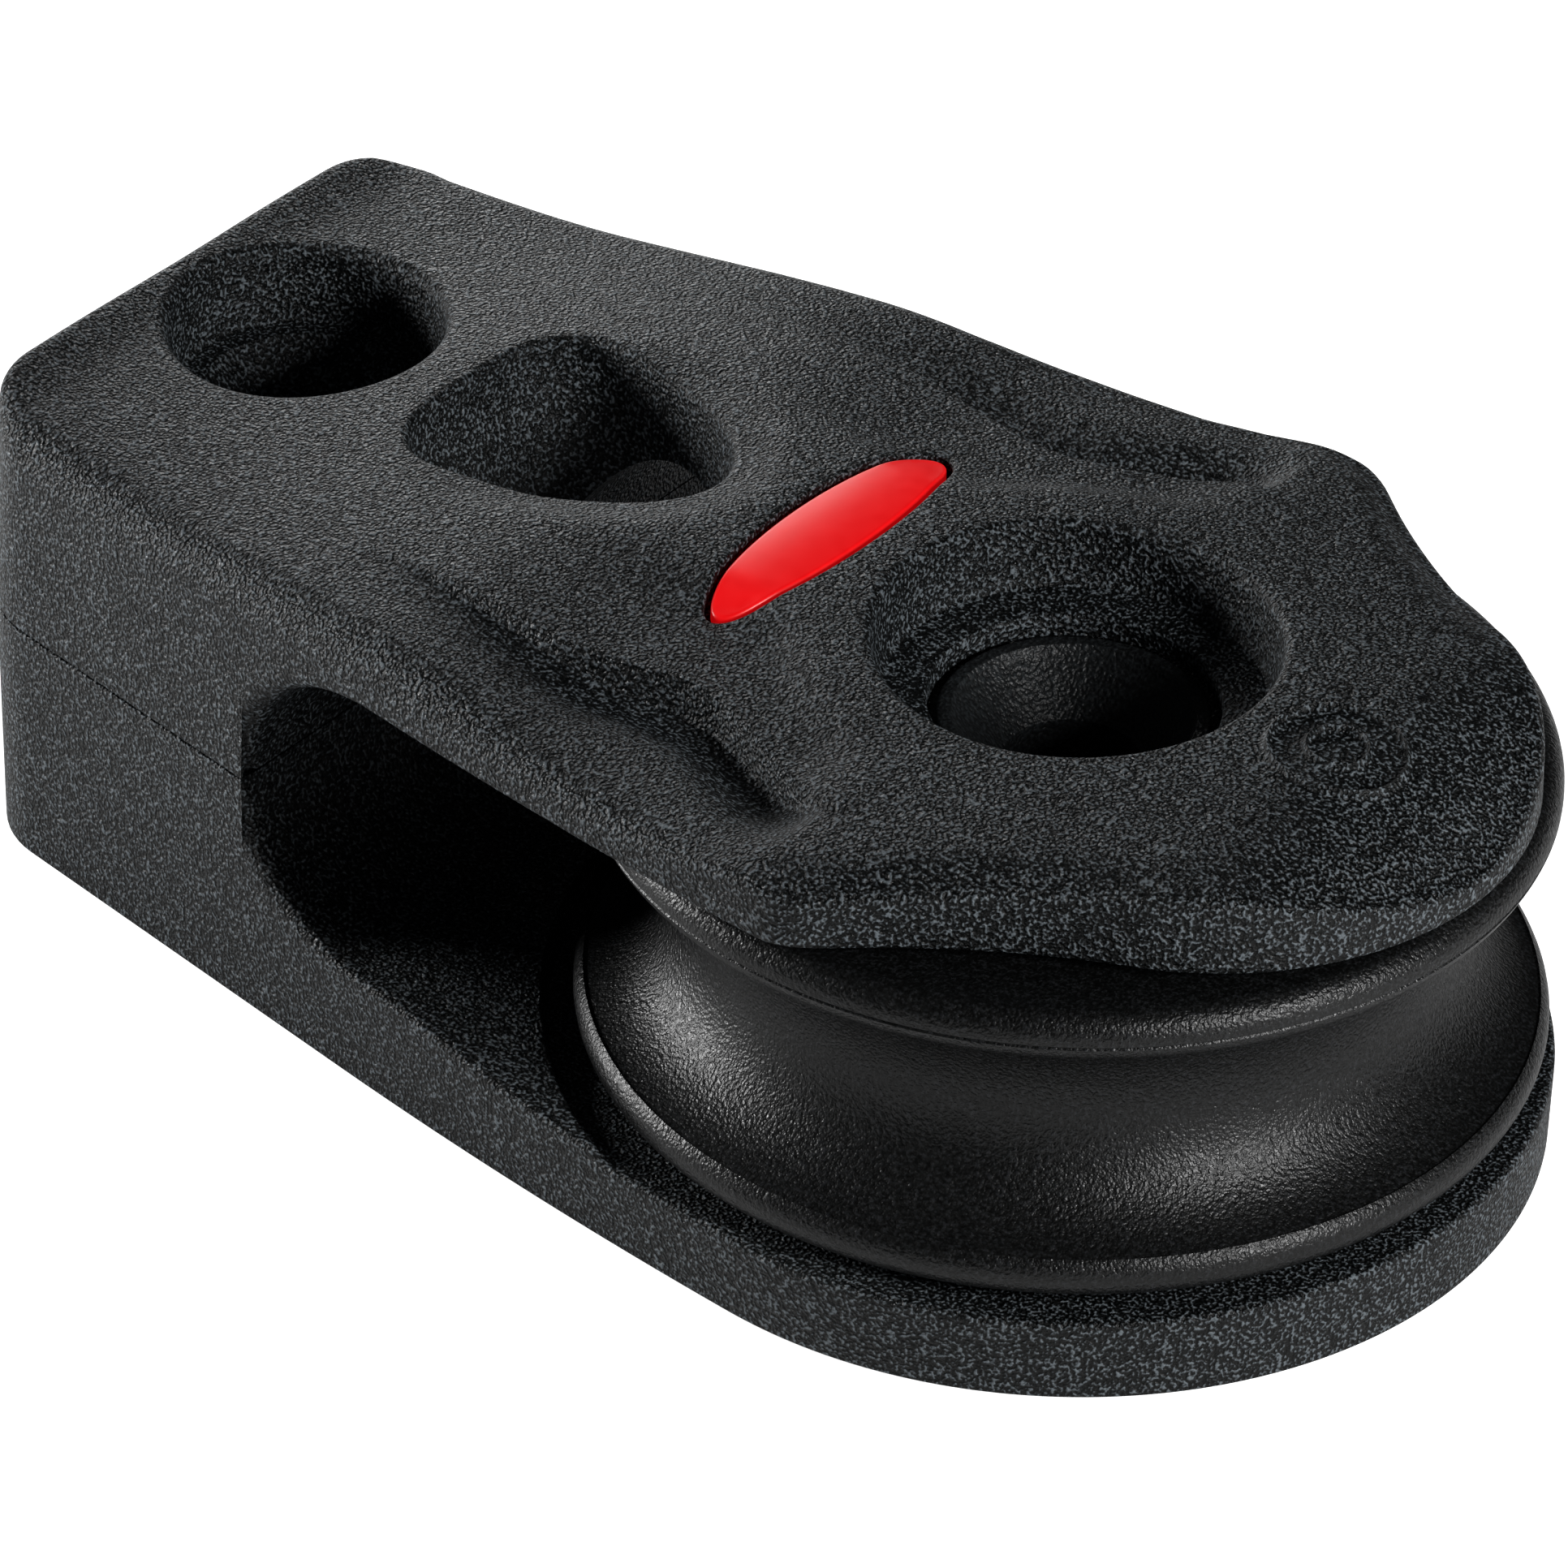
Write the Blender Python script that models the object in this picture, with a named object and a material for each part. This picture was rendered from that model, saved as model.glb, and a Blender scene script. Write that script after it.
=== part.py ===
"""Single sheave block with a 30 mm ball bearing sheave between two moulded cheeks.

The block stands on its deck face at z = 0, with its length along X, the sheave at
the +X end and the tail screw at the -X end. Sizes are in millimetres up to the last
step, where mm() turns them into metres. Every outline is drawn about the sheave's
axis, and each object is then placed on that axis.
"""
import math

import bmesh
import bpy
from mathutils import Matrix, Vector

# Driving dimensions, in millimetres.
SHEAVE_RADIUS = 15.0
HEAD_RADIUS = 15.25
LENGTH = 51.25
TAIL_END = HEAD_RADIUS - LENGTH
AXLE_X = LENGTH / 2 - HEAD_RADIUS
SEAM_Z = 8.4
PLATE_Z = 2.78
CEILING_Z = 14.0
TAIL_TOP_Z = 15.9
HEAD_TOP_Z = 17.1
GAP = 0.3

# Plan of the side walls.
SIDE_ARC_START = -1.0
SIDE_ARC_END = -18.0
SIDE_ARC_RADIUS = 170.0
TAIL_CORNER_RADIUS = 3.0
UPPER_INSET = 0.15

# Plan of the upper cheek's head: scalloped flanks and a round nose.
NOSE_CENTRE = 4.3
NOSE_RADIUS = 10.7
SCALLOP_END = 8.6
SCALLOP_SLOPE = 0.45
SCALLOP_CURVE = 0.0306
NOSE_FALL_START = 9.0
NOSE_FALL_RADIUS = 8.4

# Crown of the cover, which climbs from the tail to the head.
CROWN_START = -32.0
CROWN_END = -13.0
CROWN_CURVE = 0.0058

# Line throat, seen from the side as a slot with a round end and a floor that falls
# towards the sheave's recess.
THROAT_END = -22.25
THROAT_FLOOR_X = -16.9
THROAT_FLOOR_Z = 3.9
THROAT_ROOF_X = -16.5
LEAD_END = -7.0
LEAD_Z = 3.15
RECESS_RADIUS = 15.9

# Screw ways, both for an M4 countersunk screw.
SCREW_X = -30.3
SCREW_HOLE = 2.1
SCREW_HEAD = 3.4
SCREW_SINK = 1.3
HEAD_BORE = 6.1
HEAD_BORE_Z = 14.85
HUB_SEAT = 4.47
TAIL_BORE = 4.4
TAIL_BORE_Z = 13.3
TAIL_SINK_Z = 13.1

# Teardrop becket pocket, broad at the tail and narrowing to a round nose at the head.
# Its tail end slopes towards the sheave on the way down and opens into the throat.
POCKET_TAIL = -24.0
POCKET_CORNER = (-22.55, 2.95)
POCKET_CORNER_RADIUS = 1.45
POCKET_FLANK = ((-19.3, 4.12), (-17.3, 3.55))
POCKET_NOSE_X = -16.0
POCKET_NOSE_RADIUS = 2.5
POCKET_LOW_Z = 9.4
POCKET_SLOPE = 2.2

# Hub and ball bearing: two rows of loose balls.
HUB_RADIUS = 5.8
HUB_LAND = 6.6
HUB_COLLAR = 4.15
HUB_TOP_Z = 14.2
HUB_FOOT_Z = 1.5
HUB_SINK_Z = 13.8
BORE_RADIUS = 9.2
BORE_LAND = 8.4
ROW_Z = (6.2, 10.8)
BALL_RADIUS = 1.4
PITCH_RADIUS = 7.5
BALLS_PER_ROW = 15
GUARD_OUTER = 9.6
GUARD_INNER = 6.2
GUARD_THICKNESS = 0.6

# Sheave: flanges, groove and faces.
SHEAVE_LOW_Z = 3.3
SHEAVE_HIGH_Z = 13.65
FLANGE_LOW_Z = 4.13
FLANGE_HIGH_Z = 12.84
GROOVE_RADIUS = 11.9
GUARD_STEP = 1.1

# Badge: an oval plate across the block, between the pocket and the head bore.
BADGE_X = -9.37
BADGE_LENGTH = 11.2
BADGE_WIDTH = 2.75
BADGE_Z = 16.5
BADGE_THICKNESS = 0.45

PLASTIC = dict(base=(0.030, 0.032, 0.034), rough=0.62, metal=0.0)
ACETAL = dict(base=(0.014, 0.014, 0.015), rough=0.34, metal=0.0)
BALL_WHITE = dict(base=(0.72, 0.71, 0.68), rough=0.3, metal=0.0)
RED_GLOSS = dict(base=(0.76, 0.004, 0.006), rough=0.25, metal=0.0)


def mm(*values):
    """A point or size given in millimetres, in metres."""
    return Vector([v / 1000 for v in values])


def material(name, finish):
    """A Principled material of one colour."""
    mat = bpy.data.materials.new(name)
    mat.use_nodes = True
    shader = mat.node_tree.nodes["Principled BSDF"]
    shader.inputs["Base Color"].default_value = (*finish["base"], 1)
    shader.inputs["Roughness"].default_value = finish["rough"]
    shader.inputs["Metallic"].default_value = finish["metal"]
    return mat


def new_object(name, bm, finish, sharp_angle=30):
    """Turn a bmesh in metres about the sheave's axis into a named object."""
    bmesh.ops.remove_doubles(bm, verts=bm.verts, dist=1e-7)
    bmesh.ops.recalc_face_normals(bm, faces=bm.faces)
    mesh = bpy.data.meshes.new(name)
    bm.to_mesh(mesh)
    bm.free()
    mesh.shade_smooth()
    mesh.set_sharp_from_angle(angle=math.radians(sharp_angle))
    obj = bpy.data.objects.new(name, mesh)
    bpy.context.scene.collection.objects.link(obj)
    obj.location = mm(AXLE_X, 0, 0)
    if finish:
        mesh.materials.append(material(name + "_finish", finish))
    return obj


def as_cutter(obj):
    """Mark an object as a tool that is left out of the block."""
    obj.hide_render = True
    obj.display_type = "WIRE"
    return obj


def cut(target, cutter):
    """Subtract one object from another with a Boolean modifier."""
    mod = target.modifiers.new(cutter.name, "BOOLEAN")
    mod.operation = "DIFFERENCE"
    mod.solver = "EXACT"
    mod.object = cutter


def turned(name, profile, finish, steps=64, centre=(0.0, 0.0)):
    """A closed ring or disc turned about a vertical axis from (radius, z) corners."""
    bm = bmesh.new()
    verts = [bm.verts.new(mm(centre[0] + r, centre[1], z)) for r, z in profile]
    edges = [bm.edges.new((a, b)) for a, b in zip(verts, verts[1:] + verts[:1])]
    bmesh.ops.spin(bm, geom=verts + edges, cent=mm(*centre, 0), axis=(0, 0, 1),
                   angle=2 * math.pi, steps=steps, use_merge=True)
    return new_object(name, bm, finish)


def arc(centre, radius, start, end, count):
    """Points along an arc in a plane, angles in degrees."""
    points = []
    for i in range(count + 1):
        a = math.radians(start + (end - start) * i / count)
        points.append((centre[0] + radius * math.cos(a), centre[1] + radius * math.sin(a)))
    return points


def smooth_step(value, low, high):
    """0 below low, 1 above high, smooth between."""
    t = min(max((value - low) / (high - low), 0.0), 1.0)
    return t * t * (3 - 2 * t)


def tail_corner(x, half_width):
    """Round the two vertical corners of the tail end."""
    reach = TAIL_END + TAIL_CORNER_RADIUS - x
    if reach <= 0:
        return half_width
    reach = min(reach, TAIL_CORNER_RADIUS)
    return half_width - TAIL_CORNER_RADIUS + math.sqrt(TAIL_CORNER_RADIUS ** 2 - reach ** 2)


def side_half_width(x):
    """Half width of the lower cheek: head circle, long arc, then a straight taper."""
    if x >= SIDE_ARC_START:
        return math.sqrt(max(HEAD_RADIUS ** 2 - x ** 2, 0.0))
    start = math.sqrt(HEAD_RADIUS ** 2 - SIDE_ARC_START ** 2)
    slope = -SIDE_ARC_START / start
    run = SIDE_ARC_START - max(x, SIDE_ARC_END)
    half_width = start - slope * run - run ** 2 / (2 * SIDE_ARC_RADIUS)
    if x < SIDE_ARC_END:
        half_width -= (SIDE_ARC_END - x) * (slope + run / SIDE_ARC_RADIUS)
    return tail_corner(x, half_width)


def head_half_width(x):
    """Half width of the upper cheek: the same sides, then a scallop and a round nose."""
    if x >= SCALLOP_END:
        return math.sqrt(max(NOSE_RADIUS ** 2 - (x - NOSE_CENTRE) ** 2, 0.0))
    nose = math.sqrt(NOSE_RADIUS ** 2 - (SCALLOP_END - NOSE_CENTRE) ** 2)
    run = SCALLOP_END - x
    scallop = nose + SCALLOP_SLOPE * run + SCALLOP_CURVE * run ** 2
    return min(side_half_width(x) - UPPER_INSET, scallop)


def floor_z(x):
    """Top of the lower cheek: seam, round throat end, then a sloping floor."""
    if x <= THROAT_END:
        return SEAM_Z
    if x <= THROAT_FLOOR_X:
        t = (THROAT_FLOOR_X - x) / (THROAT_FLOOR_X - THROAT_END)
        return SEAM_Z - (SEAM_Z - THROAT_FLOOR_Z) * math.sqrt(max(1 - t * t, 0.0))
    rise = smooth_step(LEAD_END - x, 0, LEAD_END - THROAT_FLOOR_X)
    return LEAD_Z + (THROAT_FLOOR_Z - LEAD_Z) * rise


def roof_z(x):
    """Underside of the upper cheek: seam, round throat end, flat roof."""
    if x <= THROAT_END:
        return SEAM_Z + GAP
    if x <= THROAT_ROOF_X:
        t = (THROAT_ROOF_X - x) / (THROAT_ROOF_X - THROAT_END)
        return SEAM_Z + GAP + (CEILING_Z - SEAM_Z - GAP) * math.sqrt(max(1 - t * t, 0.0))
    return CEILING_Z


def crown_z(x, share, half_width):
    """Top of the upper cheek, crowned across and falling away at the nose."""
    rise = smooth_step(x, CROWN_START, CROWN_END)
    top = TAIL_TOP_Z + (HEAD_TOP_Z - TAIL_TOP_Z) * rise
    fall = max(x - NOSE_FALL_START, 0.0)
    top -= NOSE_FALL_RADIUS - math.sqrt(NOSE_FALL_RADIUS ** 2 - fall ** 2)
    across = abs(share) * half_width
    edge = max(abs(share) - 0.88, 0.0) / 0.12
    return top - CROWN_CURVE * across ** 2 - 0.3 * edge ** 2


def stations(tip):
    """Places along X where the sheets have a row of points, close where they curve."""
    corner = [x for x, _ in arc((TAIL_END + TAIL_CORNER_RADIUS, 0), TAIL_CORNER_RADIUS, 180, 90, 5)]
    throat = [THROAT_END + 0.001]
    throat += [x for x, _ in arc((THROAT_FLOOR_X, 0), THROAT_FLOOR_X - THROAT_END, 165, 90, 6)]
    nose = [x for x, _ in arc((0, 0), tip, 78, 0, 12)]
    return corner + [-30.0, -26.5, THROAT_END] + throat + [-13.0, -10.5, -8.0, -4.0, -1.0, 1.2] + nose


def sheet_solid(name, tip, width_at, low_at, high_at, shares, finish):
    """A solid between two sheets that share one plan, closed by a wall all round."""
    bm = bmesh.new()
    low_rows, high_rows = [], []
    for x in stations(tip):
        half_width = width_at(x)
        low_rows.append([bm.verts.new(mm(x, s * half_width, low_at(x))) for s in shares])
        high_rows.append([bm.verts.new(mm(x, s * half_width, high_at(x, s, half_width)))
                          for s in shares])
    for rows in (low_rows, high_rows):
        for a, b in zip(rows, rows[1:]):
            for j in range(len(shares) - 1):
                bm.faces.new((a[j], a[j + 1], b[j + 1], b[j]))
    for j in (0, -1):
        for i in range(len(low_rows) - 1):
            bm.faces.new((low_rows[i][j], low_rows[i + 1][j], high_rows[i + 1][j], high_rows[i][j]))
    for i in (0, -1):
        for j in range(len(shares) - 1):
            bm.faces.new((low_rows[i][j], low_rows[i][j + 1], high_rows[i][j + 1], high_rows[i][j]))
    return new_object(name, bm, finish)


def pocket_outline(slide):
    """The pocket's plan, with the tail end moved towards the sheave by slide."""
    half = arc((POCKET_NOSE_X, 0), POCKET_NOSE_RADIUS, 0, 68, 6)
    half += [*POCKET_FLANK[::-1]] + arc(POCKET_CORNER, POCKET_CORNER_RADIUS, 84, 180, 6)
    outline = half + [(x, -y) for x, y in half[:0:-1]]
    nose = half[0][0]
    return [(x + slide * (nose - x) / (nose - POCKET_TAIL), y) for x, y in outline]


def pocket_cutter():
    """The teardrop pocket, open from the top down into the line throat."""
    bm = bmesh.new()
    low = [bm.verts.new(mm(x, y, POCKET_LOW_Z)) for x, y in pocket_outline(POCKET_SLOPE)]
    high = [bm.verts.new(mm(x, y, HEAD_TOP_Z + 1)) for x, y in pocket_outline(0)]
    bm.faces.new(low)
    bm.faces.new(high)
    for i in range(len(low)):
        j = (i + 1) % len(low)
        bm.faces.new((low[i], low[j], high[j], high[i]))
    return as_cutter(new_object("pocket_cutter", bm, None))


def badge_outline(length, width, count=32):
    """An oval across the block."""
    points = []
    for i in range(count):
        a = 2 * math.pi * i / count
        points.append((BADGE_X + width / 2 * math.cos(a), length / 2 * math.sin(a)))
    return points


def oval_plate(name, length, width, low, high, finish):
    """A flat oval plate between two heights."""
    bm = bmesh.new()
    face = bm.faces.new([bm.verts.new(mm(x, y, low)) for x, y in badge_outline(length, width)])
    top = bmesh.ops.extrude_face_region(bm, geom=[face])["geom"]
    bmesh.ops.translate(bm, verts=[v for v in top if isinstance(v, bmesh.types.BMVert)],
                        vec=mm(0, 0, high - low))
    return new_object(name, bm, finish)


def lower_cheek():
    """Deck plate and lower half of the tail, with the sheave's recess and screw holes."""
    shares = (-1.0, -0.5, 0.0, 0.5, 1.0)
    cheek = sheet_solid("lower_cheek", HEAD_RADIUS, side_half_width, lambda x: 0.0,
                        lambda x, s, w: floor_z(x), shares, PLASTIC)
    recess = [(0, PLATE_Z), (RECESS_RADIUS, PLATE_Z), (RECESS_RADIUS, 12), (0, 12)]
    seat = [(0, HUB_FOOT_Z - GAP), (HUB_SEAT, HUB_FOOT_Z - GAP), (HUB_SEAT, 5), (0, 5)]
    hole = [(0, -1), (SCREW_HOLE, -1), (SCREW_HOLE, 12), (0, 12)]
    cut(cheek, as_cutter(turned("recess_cutter", recess, None, 96)))
    cut(cheek, as_cutter(turned("hub_seat_cutter", seat, None, 48)))
    cut(cheek, as_cutter(turned("axle_hole_cutter", hole, None, 32)))
    cut(cheek, as_cutter(turned("tail_hole_cutter", hole, None, 32, (SCREW_X, 0))))
    return cheek


def upper_cheek():
    """Crowned cover and upper half of the tail, with its bores, pocket and badge seat."""
    shares = (-1.0, -0.94, -0.88, -0.66, -0.44, -0.22, 0.0, 0.22, 0.44, 0.66, 0.88, 0.94, 1.0)
    cheek = sheet_solid("upper_cheek", NOSE_CENTRE + NOSE_RADIUS, head_half_width, roof_z,
                        crown_z, shares, PLASTIC)
    bore = [(0, 13), (HUB_SEAT, 13), (HUB_SEAT, HEAD_BORE_Z), (HEAD_BORE, HEAD_BORE_Z),
            (HEAD_BORE, 18), (0, 18)]
    sink_z = TAIL_SINK_Z - SCREW_SINK
    tail = [(0, 7), (SCREW_HOLE, 7), (SCREW_HOLE, sink_z), (SCREW_HEAD, TAIL_SINK_Z),
            (SCREW_HEAD, TAIL_BORE_Z), (TAIL_BORE, TAIL_BORE_Z), (TAIL_BORE, 18), (0, 18)]
    cut(cheek, as_cutter(turned("head_bore_cutter", bore, None, 64)))
    cut(cheek, as_cutter(turned("tail_bore_cutter", tail, None, 48, (SCREW_X, 0))))
    cut(cheek, pocket_cutter())
    cut(cheek, as_cutter(oval_plate("badge_seat_cutter", BADGE_LENGTH + 2 * GAP,
                                    BADGE_WIDTH + 2 * GAP, BADGE_Z - GAP, 18, None)))
    return cheek


def hub():
    """Fixed centre that spaces the cheeks and carries both ball rows, bored for the screw."""
    sink_low = HUB_SINK_Z - SCREW_SINK
    low, high = PLATE_Z + GAP, CEILING_Z - GAP
    profile = [(SCREW_HOLE, HUB_FOOT_Z), (SCREW_HOLE, sink_low), (SCREW_HEAD, HUB_SINK_Z),
               (SCREW_HEAD + 0.3, HUB_TOP_Z), (HUB_COLLAR, HUB_TOP_Z), (HUB_COLLAR, high),
               (HUB_RADIUS, high), (HUB_RADIUS, 9.6), (HUB_LAND, 9.0), (HUB_LAND, 8.0),
               (HUB_RADIUS, 7.4), (HUB_RADIUS, low), (HUB_COLLAR, low), (HUB_COLLAR, HUB_FOOT_Z)]
    return turned("hub", profile, PLASTIC, 40)


def sheave():
    """Grooved wheel with round flange edges and a stepped bore for the ball rows."""
    edge = SHEAVE_HIGH_Z - FLANGE_HIGH_Z
    mid = (FLANGE_LOW_Z + FLANGE_HIGH_Z) / 2
    half = FLANGE_HIGH_Z - edge - mid
    depth = SHEAVE_RADIUS - edge * 0.3 - GROOVE_RADIUS
    radius = (half ** 2 + depth ** 2) / (2 * depth)
    swing = math.degrees(math.asin(half / radius))
    low_edge = FLANGE_LOW_Z - SHEAVE_LOW_Z
    profile = [(BORE_RADIUS, SHEAVE_LOW_Z + GUARD_STEP), (BORE_RADIUS, 7.4), (BORE_LAND, 8.0),
               (BORE_LAND, 9.0), (BORE_RADIUS, 9.6), (BORE_RADIUS, SHEAVE_HIGH_Z - GUARD_STEP),
               (GUARD_OUTER + GAP, SHEAVE_HIGH_Z - GUARD_STEP), (GUARD_OUTER + GAP, SHEAVE_HIGH_Z)]
    profile += arc((SHEAVE_RADIUS - edge, FLANGE_HIGH_Z), edge, 90, -60, 5)
    profile += arc((GROOVE_RADIUS + radius, mid), radius, 180 - swing, 180 + swing, 10)
    profile += arc((SHEAVE_RADIUS - low_edge, FLANGE_LOW_Z), low_edge, 60, -90, 5)
    profile += [(GUARD_OUTER + GAP, SHEAVE_LOW_Z), (GUARD_OUTER + GAP, SHEAVE_LOW_Z + GUARD_STEP)]
    return turned("sheave", profile[::-1], ACETAL, 72)


def ball_guards():
    """Two flat rings that stop the balls from leaving the races."""
    for name, low in (("lower_ball_guard", PLATE_Z + GAP + 0.3),
                      ("upper_ball_guard", CEILING_Z - GAP - 0.3 - GUARD_THICKNESS)):
        high = low + GUARD_THICKNESS
        turned(name, [(GUARD_INNER, low), (GUARD_INNER, high), (GUARD_OUTER, high),
                      (GUARD_OUTER, low)], PLASTIC, 48)


def ball_rows():
    """Two rows of loose balls, all sharing one mesh and hung on the axle's empty."""
    axle = bpy.data.objects.new("ball_train_axis", None)
    bpy.context.scene.collection.objects.link(axle)
    axle.location = mm(AXLE_X, 0, 0)
    bm = bmesh.new()
    bmesh.ops.create_icosphere(bm, subdivisions=1, radius=BALL_RADIUS / 1000)
    first = new_object("ball_mesh_source", bm, BALL_WHITE, 180)
    mesh = first.data
    bpy.data.objects.remove(first)
    for row, z in zip(("lower", "upper"), ROW_Z):
        for i in range(BALLS_PER_ROW):
            ball = bpy.data.objects.new("{}_ball_{:02d}".format(row, i + 1), mesh)
            bpy.context.scene.collection.objects.link(ball)
            ball.parent = axle
            place = Matrix.Rotation(2 * math.pi * i / BALLS_PER_ROW, 3, "Z") @ mm(PITCH_RADIUS, 0, z)
            ball.location = place


def main():
    for obj in list(bpy.data.objects):
        bpy.data.objects.remove(obj)
    lower_cheek()
    upper_cheek()
    hub()
    sheave()
    ball_guards()
    ball_rows()
    oval_plate("badge", BADGE_LENGTH, BADGE_WIDTH, BADGE_Z, BADGE_Z + BADGE_THICKNESS, RED_GLOSS)


main()
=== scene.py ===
import math
import bpy
import bmesh
import numpy as np
from mathutils import Matrix, Vector
from mathutils.geometry import delaunay_2d_cdt


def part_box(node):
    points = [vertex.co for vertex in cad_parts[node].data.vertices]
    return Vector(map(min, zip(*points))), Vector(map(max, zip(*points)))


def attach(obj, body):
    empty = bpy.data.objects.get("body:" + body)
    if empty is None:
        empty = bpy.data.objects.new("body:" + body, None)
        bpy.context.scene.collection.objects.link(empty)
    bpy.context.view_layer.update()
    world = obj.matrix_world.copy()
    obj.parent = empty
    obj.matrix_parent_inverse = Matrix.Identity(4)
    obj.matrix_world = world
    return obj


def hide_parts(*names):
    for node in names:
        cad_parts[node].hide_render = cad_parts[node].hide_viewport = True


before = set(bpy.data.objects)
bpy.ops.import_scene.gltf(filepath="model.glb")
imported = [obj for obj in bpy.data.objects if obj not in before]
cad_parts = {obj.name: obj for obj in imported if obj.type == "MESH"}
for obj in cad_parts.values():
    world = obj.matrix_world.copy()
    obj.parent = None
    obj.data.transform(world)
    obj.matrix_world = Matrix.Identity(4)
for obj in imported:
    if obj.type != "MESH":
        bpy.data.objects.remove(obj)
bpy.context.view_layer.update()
print("frame loaded:", len(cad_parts), "nodes")

# Everything below is drawn in millimetres about the sheave's axle, then placed on it.
sheaveLow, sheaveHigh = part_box("sheave")
axle = (sheaveLow + sheaveHigh) / 2
cheekLow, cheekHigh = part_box("lower_cheek")
coverLow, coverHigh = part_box("upper_cheek")
tailInset = 0.12  # the finished tail stands this far inside the plain solid's end
tailEnd = (cheekLow.x - axle.x) * 1000 + tailInset
headRadius = (cheekHigh.x - axle.x) * 1000
seamHeight = (cheekHigh.z + coverLow.z) * 500


def smooth(value, low, high):
    t = np.clip((np.asarray(value, float) - low) / (high - low), 0, 1)
    return t * t * (3 - 2 * t)


def softMin(a, b, reach):
    # the smaller of two lengths, with the corner between them rounded over reach
    h = np.clip(reach - np.abs(a - b), 0, None) / reach
    return np.minimum(a, b) - h * h * reach / 4


def circleLoop(centre, radius, count):
    a = np.arange(count) * 2 * math.pi / count
    return np.c_[centre[0] + radius * np.cos(a), centre[1] + radius * np.sin(a)]


def throughPoints(points, count):
    # closed Catmull-Rom curve through a few given points
    p = np.array(points, float)
    n = len(p)
    t = np.arange(count) * n / count
    i = t.astype(int)
    f = (t - i)[:, None]
    a, b, c, d = (p[(i + k) % n] for k in (-1, 0, 1, 2))
    return 0.5 * (2 * b + (c - a) * f + (2 * a - 5 * b + 4 * c - d) * f ** 2
                  + (3 * b - 3 * c + d - a) * f ** 3)


def loopNormals(loop):
    # outward normals of a closed loop that runs anticlockwise
    ahead = np.roll(loop, -1, 0) - loop
    ahead /= np.linalg.norm(ahead, axis=1)[:, None]
    behind = np.roll(ahead, 1, 0)
    tangent = ahead + behind
    tangent /= np.linalg.norm(tangent, axis=1)[:, None]
    return np.c_[tangent[:, 1], -tangent[:, 0]], tangent


def inside(points, loop):
    # which points lie inside a closed loop
    x, y = points[:, 0], points[:, 1]
    hit = np.zeros(len(points), bool)
    for a, b in zip(loop, np.roll(loop, -1, 0)):
        if a[1] == b[1]:
            continue
        crosses = (a[1] > y) != (b[1] > y)
        hit ^= crosses & (x < (b[0] - a[0]) * (y - a[1]) / (b[1] - a[1]) + a[0])
    return hit


def distanceTo(points, loop):
    # distance of each point from a closed loop
    best = np.full(len(points), 1e9)
    for a, b in zip(loop, np.roll(loop, -1, 0)):
        d = b - a
        t = np.clip(((points - a) @ d) / max(d @ d, 1e-12), 0, 1)
        best = np.minimum(best, np.linalg.norm(points - a - t[:, None] * d, axis=1))
    return best


class Solid:
    # gathers points in millimetres and faces, then becomes one closed object

    def __init__(self, name):
        self.name, self.points, self.faces = name, [], []

    def add(self, points, faces):
        start = sum(len(p) for p in self.points)
        self.points.append(np.asarray(points, float))
        self.faces += [tuple(start + int(i) for i in f) for f in faces]

    def strip(self, rings):
        # quads between closed rings that all have the same number of points
        n = len(rings[0])
        faces = []
        for r in range(len(rings) - 1):
            for i in range(n):
                j = (i + 1) % n
                faces.append((r * n + i, r * n + j, (r + 1) * n + j, (r + 1) * n + i))
        self.add(np.concatenate(rings), faces)

    def sheet(self, height, outer, holes=(), fill=()):
        # a surface over the plan between an outer loop and holes, as a height of x and y
        points, edges = [], []
        for loop in [outer, *holes]:
            start = len(points)
            points += [Vector(p) for p in loop]
            count = len(loop)
            edges += [(start + i, start + (i + 1) % count) for i in range(count)]
        for group in fill:
            points += [Vector(p) for p in group]
        verts, _, faces, *_ = delaunay_2d_cdt(points, edges, [], 0, 1e-5, False)
        plan = np.array([tuple(v) for v in verts])
        tris = np.array([tuple(f) for f in faces])
        centres = plan[tris].mean(1)
        keep = inside(centres, outer)
        for hole in holes:
            keep &= ~inside(centres, hole)
        a, b = plan[tris[:, 1]] - plan[tris[:, 0]], plan[tris[:, 2]] - plan[tris[:, 0]]
        keep &= np.abs(a[:, 0] * b[:, 1] - a[:, 1] * b[:, 0]) > 5e-6  # no slivers on straight edges
        self.add(np.c_[plan, height(plan[:, 0], plan[:, 1])], tris[keep])

    def build(self, sharp=38):
        p = np.concatenate(self.points) / 1000 + np.array([axle.x, 0, 0])
        mesh = bpy.data.meshes.new(self.name)
        mesh.from_pydata(p.tolist(), [], self.faces)
        bm = bmesh.new()
        bm.from_mesh(mesh)
        bmesh.ops.remove_doubles(bm, verts=bm.verts, dist=4e-7)
        bmesh.ops.dissolve_degenerate(bm, edges=bm.edges, dist=1e-8)
        bmesh.ops.recalc_face_normals(bm, faces=bm.faces)
        if bm.calc_volume(signed=True) < 0:
            bmesh.ops.reverse_faces(bm, faces=bm.faces)
        loose = sum(not e.is_manifold for e in bm.edges)
        bm.to_mesh(mesh)
        bm.free()
        mesh.shade_smooth()
        mesh.set_sharp_from_angle(angle=math.radians(sharp))
        obj = bpy.data.objects.new(self.name, mesh)
        bpy.context.scene.collection.objects.link(obj)
        print(self.name, len(mesh.polygons), "faces,", loose, "open edges")
        return obj


def level(loop, height):
    # a plan loop lifted to a height
    return np.c_[loop, np.broadcast_to(height, len(loop))]


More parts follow.
